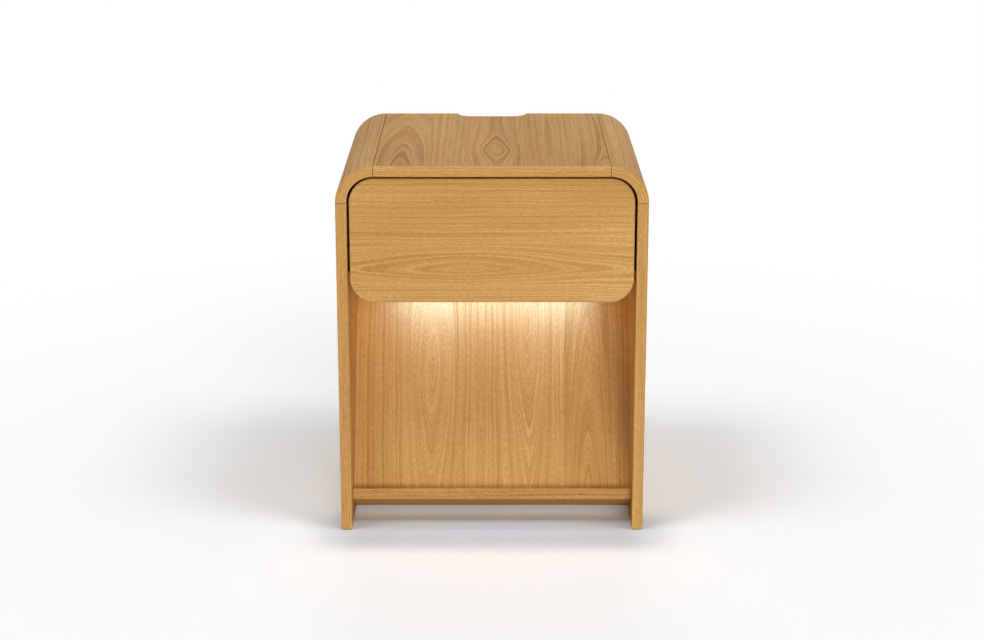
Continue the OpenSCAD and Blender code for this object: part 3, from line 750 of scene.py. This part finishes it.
def make_floor():
    """A pale floor that turns white with distance and keeps the object's shadow, with a painted
    shadow in front of the object and painted light under it.
    """
    mesh = bpy.data.meshes.new("floor")
    corners = [(x * FLOOR_HALF, y * FLOOR_HALF, 0) for x, y in ((-1, -1), (1, -1), (1, 1), (-1, 1))]
    mesh.from_pydata(corners, [], [(0, 1, 2, 3)])
    floor = placed("floor", mesh)
    made, tree, shader = material("studio_floor")
    path = tree.nodes.new("ShaderNodeLightPath")
    seen = Value(tree, path.outputs["Is Camera Ray"])
    place = object_place(tree)
    x, y, _ = split(place)
    off_centre = x.math("ABSOLUTE")
    front = cad_low.y
    # painted shadow: the camera sees the floor darker just in front of the object, across its width
    near = off_centre.ease(0.30, 0.19)
    painted_shadow_mask = y.ease(front - 0.110, front - 0.040) * y.ease(front + 0.10, front + 0.03)
    # painted light: the camera sees the floor brighter and bluer under the object, where it lies in
    # shade
    painted_light_mask = off_centre.ease(0.225, 0.20) * y.ease(front + 0.03, front + 0.10)
    painted_light_mask = painted_light_mask * y.ease(0.20, 0.12)
    shown = mix(FLOOR_OPEN, FLOOR_PAINTED_SHADOW, near * painted_shadow_mask)
    shown = mix(shown, FLOOR_PAINTED_LIGHT, painted_light_mask)
    feed(tree, shader.inputs["Base Color"], mix(FLOOR_GREY, shown, seen))
    shader.inputs["Roughness"].default_value = 0.9
    shader.inputs["Specular IOR Level"].default_value = 0.0
    reach = tree.nodes.new("ShaderNodeVectorMath")
    reach.operation = "LENGTH"
    feed(tree, reach.inputs[0], place)
    fade = Value(tree, reach.outputs["Value"]).ease(0.55, 1.6)
    lift = tree.nodes.new("ShaderNodeEmission")
    lift.inputs["Color"].default_value = (1, 1, 1, 1)
    blend = tree.nodes.new("ShaderNodeMixShader")
    feed(tree, blend.inputs[0], fade * seen)
    tree.links.new(shader.outputs[0], blend.inputs[1])
    tree.links.new(lift.outputs[0], blend.inputs[2])
    tree.links.new(blend.outputs[0], tree.nodes["Material Output"].inputs["Surface"])
    mesh.materials.append(made)


def make_world():
    """White to the camera, in reflections and through glass, and dimmer as a light."""
    world = bpy.data.worlds.new("studio")
    bpy.context.scene.world = world
    world.use_nodes = True
    tree = world.node_tree
    back = tree.nodes["Background"]
    back.inputs["Color"].default_value = (1, 1, 1, 1)
    path = tree.nodes.new("ShaderNodeLightPath")
    seen = Value(tree, path.outputs["Is Camera Ray"])
    for ray in ("Is Glossy Ray", "Is Transmission Ray"):
        seen = seen.math("MAXIMUM", Value(tree, path.outputs[ray]))
    feed(tree, back.inputs["Strength"], seen * (1 - AMBIENT) + AMBIENT)


def softbox(name, azimuth, elevation, level, spread):
    """A large soft light far away: level 1 shows a colour as it is written.

    azimuth is measured from the front towards the right, and all three angles are in degrees.
    """
    data = bpy.data.lights.new(name, "SUN")
    data.energy = level * math.pi
    data.angle = math.radians(spread)
    lamp = placed(name, data)
    turn, rise = math.radians(azimuth), math.radians(elevation)
    to_light = Vector((math.sin(turn) * math.cos(rise), -math.cos(turn) * math.cos(rise),
        math.sin(rise)))
    lamp.rotation_euler = to_light.to_track_quat("Z", "Y").to_euler()
    return lamp


def make_lights():
    """A low front light, one from each side, and one from behind that leaves no reflection."""
    softbox("front_light", azimuth=10, elevation=6, level=0.69, spread=30)
    softbox("right_light", azimuth=64, elevation=58, level=0.22, spread=24)
    softbox("left_light", azimuth=-64, elevation=60, level=0.215, spread=24)
    rear = softbox("rear_light", azimuth=180, elevation=8, level=0.36, spread=26)
    rear.visible_glossy = False


def strip_lamp(name, length, width, energy, tint, place):
    """A lamp along X that shines straight down and that the camera doesn't see."""
    data = bpy.data.lights.new(name, "AREA")
    data.shape = "RECTANGLE"
    data.size, data.size_y = length, width
    data.energy = energy
    data.color = tint
    lamp = placed(name, data)
    lamp.location = place
    lamp.visible_camera = False
    return lamp


def make_glow():
    """The light that leaves the bar's mouth: down the rack's face, and on the sides and floor.

    The first lamp is bluer than the bar's own light, so that its glow on the oak is a pale one.
    """
    _, slope = rack_slope()
    down = Vector((0, -slope.x, -slope.y))
    out = Vector((0, -slope.y, slope.x))
    low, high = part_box("light_diffuser")
    length = high.x - low.x
    mouth = Vector((0, (low.y + high.y) / 2, low.z))
    lamp = strip_lamp("bar_light", length, 0.020, 0.132, (0.16, 0.74, 2.05), mouth + out * 0.037)
    lamp.data.spread = math.radians(92)
    lean = math.radians(40)
    aim = down * math.cos(lean) - out * math.sin(lean)
    lamp.rotation_euler = aim.to_track_quat("-Z", "Y").to_euler()
    strip_lamp("bar_spill", length, 0.010, 0.15, (1.0, 0.64, 0.34), mouth + out * 0.060)


def make_camera():
    """In front of the cabinet, on its middle line, and looking down on it."""
    data = bpy.data.cameras.new("camera")
    data.lens = 77.8
    data.sensor_width = 36
    camera = placed("camera", data)
    camera.location = (0, -CAMERA_AWAY, CAMERA_HIGH)
    camera.rotation_euler = (math.radians(90 - CAMERA_TILT), 0, 0)
    bpy.context.scene.camera = camera


make_floor()
make_world()
make_lights()
make_glow()
make_camera()

view = bpy.context.scene.view_settings
view.view_transform = "Standard"
